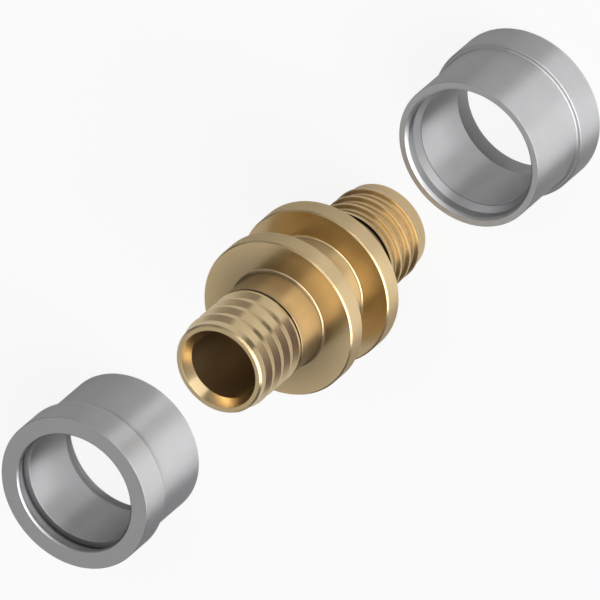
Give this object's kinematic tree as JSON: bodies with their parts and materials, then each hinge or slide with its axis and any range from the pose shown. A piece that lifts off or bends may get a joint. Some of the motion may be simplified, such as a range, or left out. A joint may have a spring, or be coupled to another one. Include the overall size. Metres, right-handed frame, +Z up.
{
  "type": "straight pipe coupling with press sleeves",
  "caption": "Straight brass pipe coupling with a barbed spigot at each end, two flanges round a jaw groove and a loose steel press sleeve for each pipe.",
  "frame": {"origin": "on the coupling body's axis, midway between its two ends", "axes": "+Z up along the body's flow bore, as the body stands on one spigot; +Y towards the rear sleeve, which stands on its thin end; -Y towards the front sleeve, which stands on its collar; every bore axis is vertical"},
  "size_m": [0.0232, 0.1179, 0.0454],
  "materials": {
    "turned_brass": "turned, satin, fine tool marks round the axis",
    "sleeve_steel": "turned, satin grey"
  },
  "bodies": {
    "root": {"coupling_body": "turned_brass", "press_sleeve_front": "sleeve_steel", "press_sleeve_rear": "sleeve_steel"}
  },
  "joints": []
}
